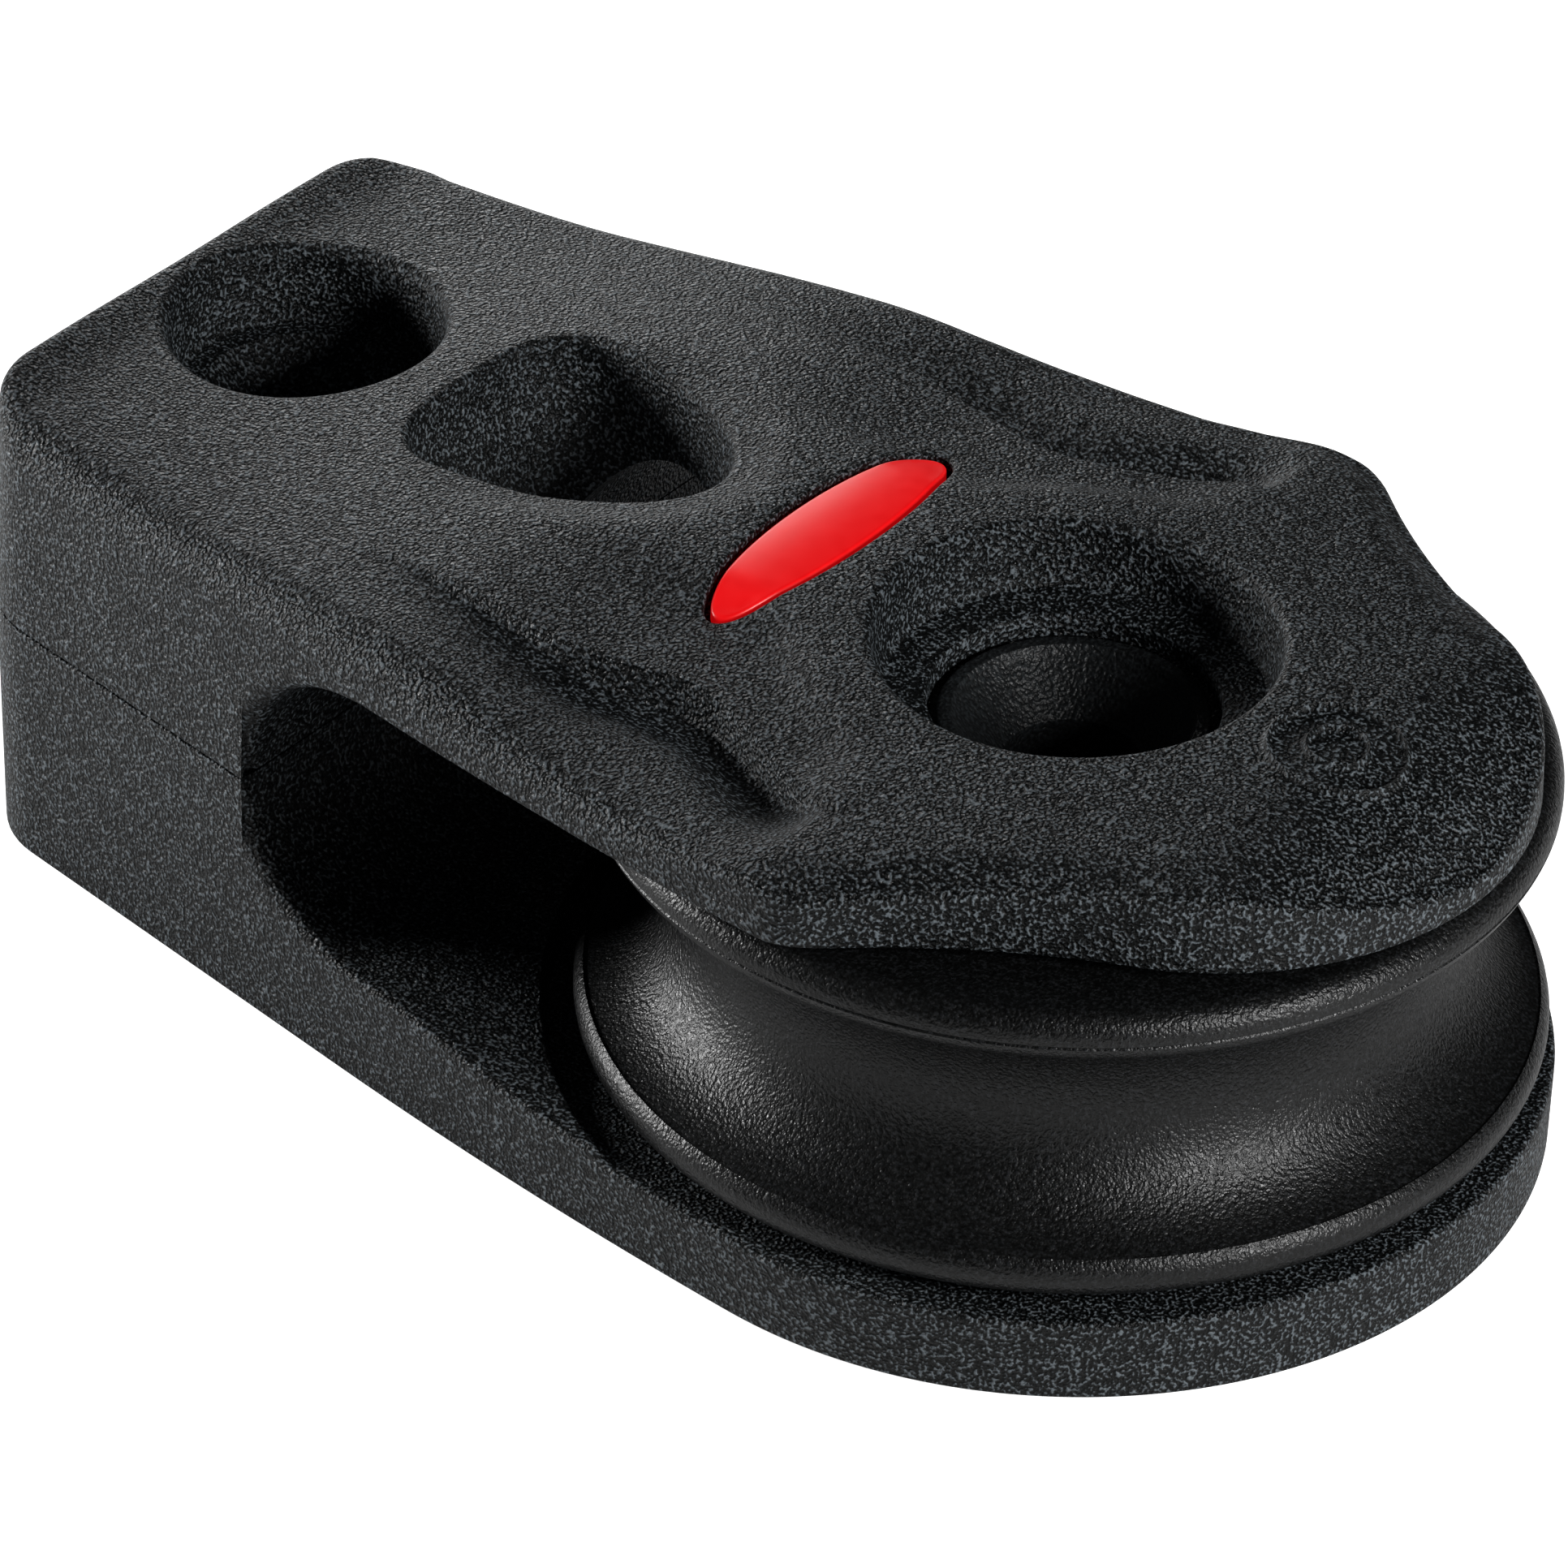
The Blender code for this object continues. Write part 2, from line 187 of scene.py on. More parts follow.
def lipRings(loopAt, size, height, steps=4):
    # rings of a rounded lip, from the face of the sheet down into the hole;
    # loopAt(d) gives the plan a distance d outside the hole
    outer = loopAt(size)
    top = height(outer[:, 0], outer[:, 1])
    rings = []
    for k in range(steps + 1):
        a = math.pi / 2 * k / steps
        rings.append(level(loopAt(size * (1 - math.sin(a))), top - size * (1 - math.cos(a))))
    return rings


def lathe(name, profile, steps=192, sharp=38):
    # a closed ring turned about the axle from (radius, height) corners
    solid = Solid(name)
    rings = [level(circleLoop((0, 0), r, steps), z) for r, z in profile]
    solid.strip(rings + rings[:1])
    return solid.build(sharp)


def roundedProfile(corners, steps=5):
    # (radius, height, rounding) corners of a turned profile, with each corner rounded
    pts = np.array([c[:2] for c in corners], float)
    out = []
    for i, (_, _, size) in enumerate(corners):
        a, p, b = pts[i - 1], pts[i], pts[(i + 1) % len(pts)]
        if size == 0:
            out.append(tuple(p))
            continue
        ua, ub = (a - p) / np.linalg.norm(a - p), (b - p) / np.linalg.norm(b - p)
        reach = size / math.tan(math.acos(np.clip(ua @ ub, -1, 1)) / 2)
        start, end = p + ua * reach, p + ub * reach
        for k in range(steps + 1):
            t = k / steps
            out.append(tuple((1 - t) ** 2 * start + 2 * t * (1 - t) * p + t ** 2 * end))
    return out


sides = {
    "arcStart": -1.0, "arcEnd": -18.0, "arcRadius": 170.0,
    "tailCorner": 3.0,
    "lowerDraft": 0.010, "upperDraft": 0.035,
    "noseCentre": 4.6, "noseRadius": 10.4,
    "scallopEnd": 8.9, "scallopSlope": 0.45, "scallopCurve": 0.0306,
}
throat = {
    "end": -22.25, "floorX": -16.9, "floorZ": 3.9, "plateZ": 2.78, "lipZ": 3.12, "lipX": -7.0,
    "roofX": -16.5, "roofZ": 14.0, "seamGap": 0.035,
    "recessRadius": 15.9, "recessSlope": 0.13,
}


def sideHalfWidth(x):
    # half the width of the plain sides: round head, slow arc, straight taper, rounded tail corner
    x = np.asarray(x, float)
    s = sides
    start = math.sqrt(headRadius ** 2 - s["arcStart"] ** 2)
    slope = -s["arcStart"] / start
    run = s["arcStart"] - np.clip(x, s["arcEnd"], s["arcStart"])
    width = start - slope * run - run ** 2 / (2 * s["arcRadius"])
    taper = slope + (s["arcStart"] - s["arcEnd"]) / s["arcRadius"]
    width -= np.clip(s["arcEnd"] - x, 0, None) * taper
    r = s["tailCorner"]
    reach = np.clip(tailEnd + r - x, 0, r)
    width -= r - np.sqrt(r * r - reach ** 2)
    head = np.sqrt(np.clip(headRadius ** 2 - x ** 2, 0, None))
    return np.where(x >= s["arcStart"], head, width)


def coverHalfWidth(x):
    # the same sides with the scallop and the smaller nose of the upper cheek
    x = np.asarray(x, float)
    s = sides
    nose = np.sqrt(np.clip(s["noseRadius"] ** 2 - (x - s["noseCentre"]) ** 2, 0, None))
    joint = math.sqrt(s["noseRadius"] ** 2 - (s["scallopEnd"] - s["noseCentre"]) ** 2)
    run = s["scallopEnd"] - x
    scallop = joint + s["scallopSlope"] * run + s["scallopCurve"] * run ** 2
    flank = softMin(sideHalfWidth(np.minimum(x, s["scallopEnd"])), scallop, 0.9)
    return np.where(x >= s["scallopEnd"], nose, flank)


def cheekLoop(halfWidth, nose, bends):
    # anticlockwise plan loop: tail, near side, nose, far side
    corner = tailEnd + sides["tailCorner"] * (1 - np.cos(np.linspace(0, math.pi / 2, 14)))
    tip = nose * np.sin(np.linspace(math.radians(40), math.pi / 2, 70))
    middle = np.arange(corner[-1] + 0.35, tip[0], 0.35)
    bends = np.asarray(bends)
    middle = middle[np.abs(middle[:, None] - bends[None]).min(1) > 0.12]
    x = np.unique(np.round(np.concatenate([corner, middle, bends, tip]), 6))
    w = halfWidth(x)
    w[-1] = 0
    near = np.c_[x, -w]
    far = np.c_[x, w][::-1][1:]
    end = np.linspace(w[0], -w[0], 30)[1:-1]
    return np.concatenate([near, far, np.c_[np.full(len(end), tailEnd), end]])


def throatXs(bend):
    # places along X that follow the round end of the throat
    a = np.linspace(0, math.pi / 2, 26)
    return bend - (bend - throat["end"]) * np.cos(a)


def floorHeight(x, y):
    # top of the lower cheek
    t = throat
    x = np.asarray(x, float)
    u = np.clip((t["floorX"] - x) / (t["floorX"] - t["end"]), 0, 1)
    seam = seamHeight - t["seamGap"]
    ramp = seam - (seam - t["floorZ"]) * np.sqrt(1 - u * u)
    lead = t["lipZ"] + (t["floorZ"] - t["lipZ"]) * smooth(t["lipX"] - x, 0, t["lipX"] - t["floorX"])
    high = np.where(x <= t["end"], seam, np.where(x <= t["floorX"], ramp, lead))
    step = smooth(np.hypot(x, y), t["recessRadius"] - t["recessSlope"], t["recessRadius"] + t["recessSlope"])
    return t["plateZ"] + (high - t["plateZ"]) * step


def roofHeight(x, y):
    # underside of the upper cheek
    t = throat
    x = np.asarray(x, float)
    u = np.clip((t["roofX"] - x) / (t["roofX"] - t["end"]), 0, 1)
    seam = seamHeight + t["seamGap"]
    arch = seam + (t["roofZ"] - seam) * np.sqrt(1 - u * u)
    return np.where(x <= t["end"], seam, arch)


crown = {
    "tailZ": 15.95, "pocketZ": 17.1, "rise": (-32.0, -13.0),
    "curve": 0.0050, "tailCurve": 0.3, "curveRise": (-35, -26),
    "tailLip": 0.45, "lipRise": (33.6, 36.0), "tailDip": 0.12, "dipWidth": 3.6,
    "noseFallFrom": 9.0, "noseFallRadius": 8.4,
    "shoulder": 0.75, "shoulderWidth": 2.2, "shoulderRise": (-3, 3), "shoulderFade": (6, 12),
    # rounding of the top edge at places along X, and the least wall left below it
    "edge": [(-36.0, 0.35), (-35.4, 0.35), (-33.0, 1.5), (-7.0, 1.5), (-3.0, 0.4), (1.0, 0.4)],
    "leastWall": 0.35,
}
valley = {
    # run of the deck's edge beside the valley, as (x, distance from the centre line)
    "edge": [(-24.0, 9.2), (-20.0, 9.3), (-15.5, 9.45), (-12.3, 9.5), (-10.0, 9.15), (-8.2, 8.75),
             (-6.8, 8.85), (-5.4, 9.35), (-4.0, 10.05), (-2.6, 10.65), (-1.4, 11.1), (2.0, 11.4)],
    "deep": [(-24.0, 0.0), (-20.5, 0.0), (-18.5, 0.07), (-16.0, 0.27), (-12.5, 0.52), (-10.2, 0.9),
             (-8.0, 1.2), (-5.0, 1.25), (-3.2, 1.1), (-1.9, 0.75), (-0.8, 0.12), (0.2, 0.0), (2.0, 0.0)],
    "wall": 0.24, "floor": 1.1, "outer": 1.9, "shoulder": 0.2, "shoulderRise": (1.0, 9.0),
}
collar = {"drop": 0.42, "radius": (7.8, 9.5), "behind": (0.6, 3.5), "beside": (3.6, 6.2), "tail": (-17, -10)}
headBore = {"rim": 6.2, "lip": 0.3, "wallLow": 5.95, "floorZ": 14.9, "seat": 4.47, "steps": 128}
tailBore = {"x": -30.3, "rim": 4.42, "lip": 0.42, "wallLow": 4.25, "floorZ": 13.35,
            "sink": 3.36, "sinkZ": 13.2, "hole": 2.1, "holeZ": 11.9, "waistZ": 10.0, "steps": 112}
pocket = {
    "rim": [(-23.75, 0.0), (-23.6, 2.5), (-22.85, 3.85), (-21.5, 4.4), (-19.5, 4.15), (-17.2, 3.5),
            (-15.2, 2.4), (-14.1, 1.15), (-13.78, 0.0)],
    "low": [(-21.9, 0.0), (-21.75, 2.3), (-21.2, 3.4), (-20.3, 3.9), (-19.0, 3.85), (-17.3, 3.3),
            (-15.6, 2.3), (-14.6, 1.15), (-14.25, 0.0)],
    "lip": 0.28, "dish": 0.34, "dishWidth": 2.0, "dishRise": (-21.5, -17.5),
    "wallRings": 14, "bulge": 1.35,
}
badge = {"x": -9.37, "length": 11.2, "width": 2.75, "gap": 0.2, "deep": 0.5, "proud": -0.08, "lip": 0.09,
         "rim": 0.16, "dome": 0.1, "glue": 0.06}
mark = {"x": 9.5, "radius": 2.1, "inner": 0.95, "height": 0.21, "width": 0.15}


def mirrored(points):
    # a closed run of points from half an outline that starts and ends on the centre line
    return points + [(x, -y) for x, y in points[-2:0:-1]]


def pocketLoop(which, out=0.0, count=120):
    loop = throughPoints(mirrored(pocket[which]), count)[::-1]
    return loop + loopNormals(loop)[0] * out


def badgeLoop(out=0.0, count=120):
    a = np.arange(count) * 2 * math.pi / count
    # an ellipse; an offset outward lengthens it 1.3 times as much as it widens it
    half = badge["width"] / 2 + out
    return np.c_[badge["x"] + half * np.cos(a), (badge["length"] / 2 + out * 1.3) * np.sin(a)]


pocketRim = pocketLoop("rim")


def coverHeight(x, y):
    # the crowned top face with its deck, side valleys, collar, dished pocket and round mark
    x, y = np.asarray(x, float), np.asarray(y, float)
    c, v = crown, valley
    side = np.abs(y)
    width = np.maximum(coverHalfWidth(x), 0.5)
    z = c["tailZ"] + (c["pocketZ"] - c["tailZ"]) * smooth(x, *c["rise"])
    fall = np.clip(x - c["noseFallFrom"], 0, None)
    z = z - (c["noseFallRadius"] - np.sqrt(np.clip(c["noseFallRadius"] ** 2 - fall ** 2, 1, None)))
    z = z - c["curve"] * y ** 2 * (c["tailCurve"] + (1 - c["tailCurve"]) * smooth(x, *c["curveRise"]))
    z = z + smooth(-x, *c["lipRise"]) * (c["tailLip"] - c["tailDip"] * np.exp(-(y / c["dipWidth"]) ** 2))
    # shoulder that rolls over to the side walls of the head
    roll = c["shoulder"] * smooth(x, *c["shoulderRise"]) * (1 - smooth(x, *c["shoulderFade"]))
    z = z - roll * np.clip(1 - (width - side) / c["shoulderWidth"], 0, 1) ** 2
    # side valleys below the edge of the deck
    edge = np.interp(x, *zip(*v["edge"]))
    deep = np.interp(x, *zip(*v["deep"]))
    past = side - edge
    bottom = smooth(past, -v["wall"], v["wall"] * 0.4)
    shoulder = 1 - v["shoulder"] * smooth(-x, *v["shoulderRise"])
    rise = 1 - shoulder * smooth(past, v["floor"] * 0.35, v["floor"] + v["outer"])
    z = z - deep * bottom * rise
    # raised collar round the head bore, falling to the deck on the tail side
    r = np.hypot(x, y)
    z = z - (collar["drop"] * smooth(r, *collar["radius"]) * smooth(-x, *collar["behind"])
             * smooth(side, *collar["beside"]) * smooth(x, *collar["tail"]))
    # dish round the head end of the pocket
    d = distanceTo(np.c_[x.ravel(), y.ravel()], pocketRim).reshape(x.shape)
    z = z - pocket["dish"] * (1 - smooth(d, 0, pocket["dishWidth"])) * smooth(x, *pocket["dishRise"])
    # size mark: a plain ring and a smaller ring
    m = np.hypot(x - mark["x"], y)
    for radius in (mark["radius"], mark["inner"]):
        z = z + mark["height"] * np.exp(-((m - radius) / (mark["width"] * 0.6)) ** 2)
    return z


# spacing of the points that fill each face
fillStep = {"seat": 0.5, "underside": 0.8, "tailUnderside": 0.9, "deck": 1.6, "leadIn": 0.45, "plate": 0.9,
            "block": 1.0, "badge": 0.3, "badgeBack": 0.6}


def gridFill(low, high, step):
    # points in rows across an oblong, with every other row shifted by half a step
    xs = np.arange(low[0], high[0], step)
    ys = np.arange(low[1], high[1], step)
    gx, gy = np.meshgrid(xs, ys, indexing="ij")
    gy = gy + (np.arange(len(xs)) % 2)[:, None] * step / 2
    return np.c_[gx.ravel(), gy.ravel()]


def clearOf(points, outer, holes, space):
    # the points inside outer and outside the holes, with space to every edge
    keep = inside(points, outer) & (distanceTo(points, outer) > space)
    for hole in holes:
        keep &= ~inside(points, hole) & (distanceTo(points, hole) > space)
    return points[keep]


coverMesh = {
    # spacing of the face's points, and the closer rows and rings that carry the fine shapes
    "step": 0.42, "clear": 0.16, "valleyRun": (-22, 1), "valleyStep": 0.2, "valleyBand": (-0.8, 2.4),
    "valleyRows": (-0.7, -0.5, -0.38, -0.3, -0.22, -0.14, -0.06, 0.02, 0.1, 0.18, 0.35, 0.6, 0.85,
                   1.1, 1.35, 1.6, 1.9, 2.2),
    "markClear": 0.4, "markSteps": 72,
    "markRings": (0.25, 0.5, 0.75, 0.85, 0.9, 0.95, 1.0, 1.05, 1.15, 1.4, 1.7, 1.92, 2.0, 2.05, 2.1,
                  2.15, 2.2, 2.3, 2.45),
}


def coverFill(outer, holes):
    # coarse points over the face, finer ones in the valleys, rings round the mark
    c = coverMesh
    start, end = c["valleyRun"]
    coarse = gridFill((tailEnd, -16), (16, 16), c["step"])
    past = np.abs(coarse[:, 1]) - np.interp(coarse[:, 0], *zip(*valley["edge"]))
    inValley = (coarse[:, 0] > start) & (coarse[:, 0] < end)
    inValley &= (past > c["valleyBand"][0]) & (past < c["valleyBand"][1])
    m = np.hypot(coarse[:, 0] - mark["x"], coarse[:, 1])
    coarse = coarse[~inValley & (m > mark["radius"] + c["markClear"])]
    fine = []
    for x in np.arange(start, end, c["valleyStep"]):
        e = np.interp(x, *zip(*valley["edge"]))
        for d in c["valleyRows"]:
            fine += [(x, e + d), (x, -e - d)]
    rings = [circleLoop((mark["x"], 0), r, c["markSteps"]) for r in c["markRings"]]
    return [clearOf(p, outer, holes, c["clear"]) for p in (coarse, np.array(fine))] + rings


throatEdge = {"seam": 0.05, "round": 0.6, "plate": 0.2, "plateFrom": -8.0, "leanTo": -7.0}


def edgeSlope(height, x, up):
    # direction in the x-z plane from the throat's edge into the material
    step = 1e-4
    slope = (height(x + step, 0 * x) - height(x, 0 * x)) / step
    slope = np.where(x < throat["end"] - 0.01, 0, slope)
    if up:
        m = np.c_[-slope, np.ones_like(slope)]
    else:
        m = np.c_[slope, -np.ones_like(slope)]
    m[:, 0] = -np.abs(m[:, 0]) * (x < throatEdge["leanTo"])
    return m / np.linalg.norm(m, axis=1)[:, None]


def edgeRounding(x, bend):
    # sharp along the seam, generous at the throat's round end, small along the plate
    a = np.degrees(np.arccos(np.clip((bend - x) / (bend - throat["end"]), -1, 1)))
    at = np.where(x < throat["end"] - 1e-4, 0, a)
    size = throatEdge["seam"] + throatEdge["round"] * smooth(at, 0, 14) * (1 - 0.72 * smooth(at, 25, 85))
    return np.where(x > throatEdge["plateFrom"], throatEdge["plate"], size)


def cheekWall(solid, loop, throatHeight, up, bend, offset, farRings, rows=9):
    # outer wall from the throat's edge to farRings, returns the plan of its inner edge
    normal, tangent = loopNormals(loop)
    size = edgeRounding(loop[:, 0], bend)[:, None]
    base = loop + normal * (offset(throatHeight(loop[:, 0], loop[:, 1]))[:, None] - size)
    z0 = throatHeight(base[:, 0], base[:, 1])
    m = edgeSlope(throatHeight, base[:, 0], up)
    lengthwise = np.abs(tangent[:, :1]) > 0.5
    along = np.where(lengthwise, tangent / np.where(lengthwise, tangent[:, :1], 1), 0)
    rings = []
    for k in range(6):
        a = math.pi / 2 * k / 5
        lift = size * (1 - math.cos(a))
        plan = base + normal * size * math.sin(a) + along * lift * m[:, :1]
        rings.append(np.c_[plan, z0 + (lift * m[:, 1:])[:, 0]])
    first, last = rings[-1], farRings[0]
    for k in range(1, rows):
        t = k / rows
        rings.append(first * (1 - t) + last * t)
    solid.strip(rings + farRings)
    return base


# how far a side wall stands outside its plan line at a height, from the mould's draft
def upperOffset(z):
    return sides["lowerDraft"] * seamHeight - sides["upperDraft"] * (z - seamHeight)


def lowerOffset(z):
    return sides["lowerDraft"] * z


def makeUpperCheek():
    solid = Solid("cheek_upper_moulding")
    nose = sides["noseCentre"] + sides["noseRadius"]
    loop = cheekLoop(coverHalfWidth, nose, throatXs(throat["roofX"]))
    normal, _ = loopNormals(loop)
    # rounded top edge, rolling from the wall to the face
    edge = np.interp(loop[:, 0], *zip(*crown["edge"]))
    room = coverHeight(loop[:, 0], loop[:, 1]) - roofHeight(loop[:, 0], loop[:, 1])
    edge = np.minimum(edge, np.maximum(room - crown["leastWall"], room * 0.4))
    drop = upperOffset(coverHeight(loop[:, 0], loop[:, 1]) - edge)
    inner = loop + normal * (drop - edge)[:, None]
    topZ = coverHeight(inner[:, 0], inner[:, 1])
    top = []
    for k in range(7):
        a = math.pi / 2 * k / 6
        plan = loop + normal * (drop - edge * (1 - math.cos(a)))[:, None]
        top.append(np.c_[plan, topZ - edge * (1 - math.sin(a))])
    base = cheekWall(solid, loop, roofHeight, True, throat["roofX"], upperOffset, top)

    # the four openings of the face, each with a rounded lip
    h, t = headBore, tailBore
    lips = [lipRings(loopAt, size, coverHeight, steps) for loopAt, size, steps in (
        (lambda d: circleLoop((0, 0), h["rim"] + d, h["steps"]), h["lip"], 5),
        (lambda d: circleLoop((t["x"], 0), t["rim"] + d, t["steps"]), t["lip"], 5),
        (lambda d: pocketLoop("rim", d), pocket["lip"], 4),
        (lambda d: badgeLoop(badge["gap"] + d), badge["lip"], 3))]
    headRings, tailRings, pocketRings, seatRings = lips
    holes = [rings[0][:, :2] for rings in lips]
    solid.sheet(coverHeight, inner, holes, fill=coverFill(inner, holes))

    # head bore: drafted wall, coved floor, seat for the hub's collar
    profile = [(h["wallLow"] + 0.02, h["floorZ"] + 0.3), (h["wallLow"] - 0.04, h["floorZ"] + 0.12),
               (h["wallLow"] - 0.16, h["floorZ"]), (h["seat"] + 0.15, h["floorZ"] - 0.14),
               (h["seat"] + 0.04, h["floorZ"] - 0.18), (h["seat"], h["floorZ"] - 0.26),
               (h["seat"], throat["roofZ"])]
    solid.strip(headRings + [level(circleLoop((0, 0), r, h["steps"]), z) for r, z in profile])
    # tail screw way with its countersink
    seam = seamHeight + throat["seamGap"]
    profile = [(t["wallLow"] + 0.02, t["floorZ"] + 0.3), (t["wallLow"] - 0.04, t["floorZ"] + 0.1),
               (t["wallLow"] - 0.16, t["floorZ"]), (t["sink"] + 0.1, t["floorZ"] - 0.04),
               (t["sink"], t["sinkZ"]), (t["hole"], t["holeZ"]), (t["hole"], t["waistZ"]), (t["hole"], seam)]
    solid.strip(tailRings + [level(circleLoop((t["x"], 0), r, t["steps"]), z) for r, z in profile])
    # pocket: steep sides and a ramp at the tail end, open into the throat
    low = pocketLoop("low")
    lowRing = level(low, roofHeight(low[:, 0], low[:, 1]))
    rings = list(pocketRings)
    for k in range(1, pocket["wallRings"]):
        f = k / pocket["wallRings"]
        inward = f ** pocket["bulge"]
        ring = pocketRings[-1] * (1 - f) + lowRing * f
        ring[:, :2] = pocketRings[-1][:, :2] * (1 - inward) + lowRing[:, :2] * inward
        rings.append(ring)
    solid.strip(rings + [lowRing])
    # badge seat
    seatFloor = badgeLoop(badge["gap"])
    floor = level(seatFloor, coverHeight(seatFloor[:, 0], seatFloor[:, 1]) - badge["deep"])
    solid.strip(seatRings + [floor])
    solid.sheet(lambda x, y: coverHeight(x, y) - badge["deep"], seatFloor,
                fill=[clearOf(gridFill((-12, -7), (-6, 7), fillStep["seat"]), seatFloor, [], 0.15)])
    # underside, with rows that follow the throat's round end
    xs = throatXs(throat["roofX"])[1:]
    rows = [np.c_[np.full(45, x), np.linspace(-13, 13, 45)] for x in xs]
    rest = np.concatenate([
        gridFill((tailEnd, -15), (throat["end"] - 0.4, 15), fillStep["tailUnderside"]),
        gridFill((throat["roofX"] + 0.5, -15), (15, 15), fillStep["underside"])])
    holes = [circleLoop((0, 0), h["seat"], h["steps"]), circleLoop((t["x"], 0), t["hole"], t["steps"]), low]
    ends = [np.c_[np.full(45, throat["end"]), np.linspace(-13, 13, 45)]]
    solid.sheet(roofHeight, base, holes,
                fill=[clearOf(p, base, holes, 0.12) for p in [*rows, rest, *ends]])
    return solid.build()


lowerCheek = {"edge": 0.1, "hubSeatZ": 1.2, "screwMouth": 0.15, "hubMouth": 0.12, "screwWaist": 4.0,
              "steps": 96, "recessSteps": 340,
              # places across the recess wall, in half widths of its slope
              "recessRings": (-1.6, -1, -0.75, -0.45, -0.15, 0.15, 0.45, 0.75, 1, 1.6),
              "recessCrossings": (-1.3, -1, -0.7, -0.35, 0, 0.35, 0.7, 1, 1.3)}


def makeLowerCheek():
    solid = Solid("cheek_lower_moulding")
    c = lowerCheek
    loop = cheekLoop(sideHalfWidth, headRadius, np.concatenate([
        throatXs(throat["floorX"]), recessCrossing()]))
    normal, _ = loopNormals(loop)
    edge = c["edge"]
    bottom = [level(loop + normal * (-edge * (1 - math.cos(a))), edge * (1 - math.sin(a)))
              for a in np.linspace(0, math.pi / 2, 6)]
    base = cheekWall(solid, loop, floorHeight, False, throat["floorX"], lowerOffset, bottom, 8)
    hole, seat, mouth = tailBore["hole"], headBore["seat"], c["screwMouth"]

    def headCircle(radius):
        return circleLoop((0, 0), radius, c["steps"])

    def tailCircle(radius):
        return circleLoop((tailBore["x"], 0), radius, c["steps"])

    deck = bottom[-1][:, :2]
    deckHoles = [headCircle(hole + mouth), tailCircle(hole + mouth)]
    solid.sheet(lambda x, y: np.zeros_like(x), deck, deckHoles,
                fill=[clearOf(gridFill((tailEnd, -16), (16, 16), fillStep["deck"]), deck, deckHoles, 0.4)])
    # hub seat and screw ways
    topHoles = [headCircle(seat + c["hubMouth"]), tailCircle(hole)]
    solid.strip([level(topHoles[0], throat["plateZ"]),
                 level(headCircle(seat), throat["plateZ"] - c["hubMouth"]),
                 level(headCircle(seat), c["hubSeatZ"]), level(headCircle(hole), c["hubSeatZ"]),
                 level(headCircle(hole), mouth), level(deckHoles[0], 0)])
    solid.strip([level(topHoles[1], seamHeight - throat["seamGap"]), level(tailCircle(hole), c["screwWaist"]),
                 level(tailCircle(hole), mouth), level(deckHoles[1], 0)])
    # floor: rows down the throat's round end, a finer lead-in, and rings along the recess
    rows = [np.c_[np.full(61, x), np.linspace(-15, 15, 61)] for x in throatXs(throat["floorX"])]
    leadIn = gridFill((throat["floorX"] + 0.3, -15.2), (-6, 15.2), fillStep["leadIn"])
    plate = gridFill((-15.8, -15.2), (15.2, 15.2), fillStep["plate"])
    block = gridFill((tailEnd, -15), (throat["end"] - 0.4, 15), fillStep["block"])
    r0, s = throat["recessRadius"], throat["recessSlope"]
    rings = [circleLoop((0, 0), r0 + s * k, c["recessSteps"]) for k in c["recessRings"]]
    leadIn = leadIn[np.hypot(*leadIn.T) > r0 + 0.45]
    plate = plate[np.hypot(*plate.T) < r0 - 0.5]
    rows = [p[(np.hypot(*p.T) > r0 + 0.3)] for p in rows]
    solid.sheet(floorHeight, base, topHoles,
                fill=[clearOf(p, base, topHoles, 0.1) for p in [*rows, leadIn, plate, block, *rings]])
    return solid.build()


def recessCrossing():
    # places along X where the recess runs out through the side walls
    xs = np.linspace(-9, -2, 4001)
    gap = np.hypot(xs, sideHalfWidth(xs)) - throat["recessRadius"]
    s = throat["recessSlope"]
    return [float(xs[np.argmin(np.abs(gap - s * k))]) for k in lowerCheek["recessCrossings"]]


# heights of the land between the two rows of balls, on the sheave and on the hub
land = {"low": 7.4, "lowTop": 8.0, "highTop": 9.0, "high": 9.6}
wheel = {
    "radius": 15.0, "highRadius": 14.86, "lowZ": 3.3, "highZ": 13.52, "lowFlange": 4.13, "highFlange": 12.68,
    "groove": 11.9, "grooveInset": 0.22, "grooveTuck": 0.62, "grooveLean": 0.11, "mouldLine": 0.05,
    "bore": 9.2, "land": 8.4, "guardStep": 1.1, "guardRadius": 9.9,
}


